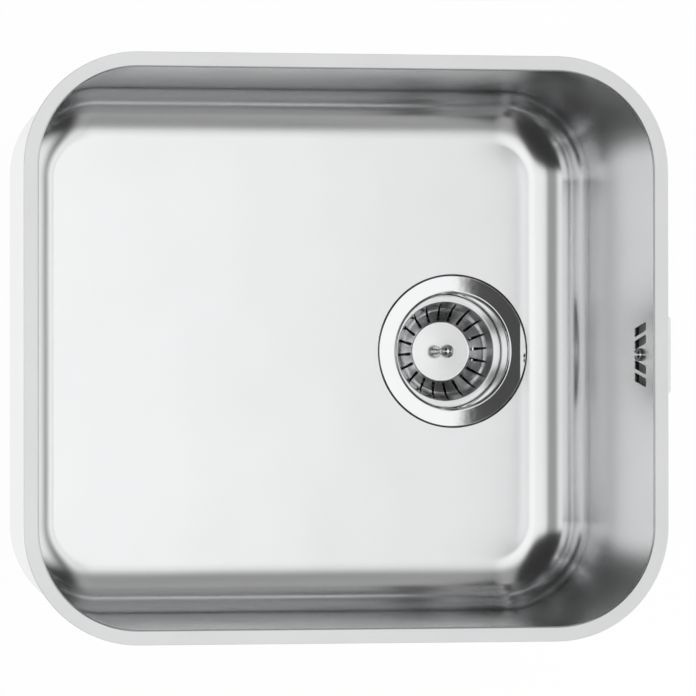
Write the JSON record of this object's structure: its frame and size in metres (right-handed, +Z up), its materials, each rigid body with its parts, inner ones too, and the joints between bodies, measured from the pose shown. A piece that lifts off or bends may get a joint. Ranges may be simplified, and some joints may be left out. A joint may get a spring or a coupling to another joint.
{
  "type": "undermount kitchen sink",
  "caption": "Undermount kitchen sink: deep rectangular steel bowl with round corners, lift-out basket strainer waste and slotted overflow with hose.",
  "frame": {"origin": "centre of the bowl's opening, in the plane of the flange's top face, which lies under the worktop", "axes": "+Z up out of the bowl, +X along the long side from the bowl's centre to the drain and the overflow, +Y to the rear"},
  "size_m": [0.4892, 0.422, 0.312],
  "materials": {
    "satin_steel": "satin brushed stainless steel",
    "polished_steel": "polished stainless steel",
    "rubber": "matt black rubber",
    "seal_rubber": "smooth dark rubber",
    "waste_plastic": "moulded pale grey polypropylene",
    "union_plastic": "moulded dark polypropylene",
    "hose_plastic": "ribbed pale grey polyethylene",
    "bush_plastic": "natural acetal",
    "brass": "turned brass",
    "pad_bitumen": "textured grey damping mat"
  },
  "bodies": {
    "sink": {"bowl": "satin_steel", "strainer_cup": "polished_steel", "overflow_screw": "polished_steel", "centre_bolt": "polished_steel", "bolt_washer": "polished_steel", "thread_insert": "brass", "overflow_insert": "brass", "flange_gasket": "rubber", "body_gasket": "rubber", "overflow_gasket": "rubber", "upper_hose_washer": "rubber", "lower_hose_washer": "rubber", "waste_body": "waste_plastic", "overflow_head": "waste_plastic", "overflow_hose": "hose_plastic", "upper_hose_nut": "union_plastic", "lower_hose_nut": "union_plastic", "floor_pad": "pad_bitumen", "front_pad": "pad_bitumen", "rear_pad": "pad_bitumen"},
    "bush": {"grip_bush": "bush_plastic"},
    "basket": {"strainer_basket": "polished_steel", "basket_seal": "seal_rubber", "knob_stem": "polished_steel", "basket_knob": "polished_steel", "stem_nut": "polished_steel", "pin_clip": "polished_steel"}
  },
  "joints": [
    {"name": "basket_lift", "type": "slide", "parent": "sink", "child": "bush", "axis": [0, 0, 1], "range_m": [0, 0.27]},
    {"name": "basket_turn", "type": "hinge", "parent": "bush", "child": "basket", "pos_m": [0.123, 0, -0.242], "axis": [0, 0, 1], "continuous": true}
  ]
}
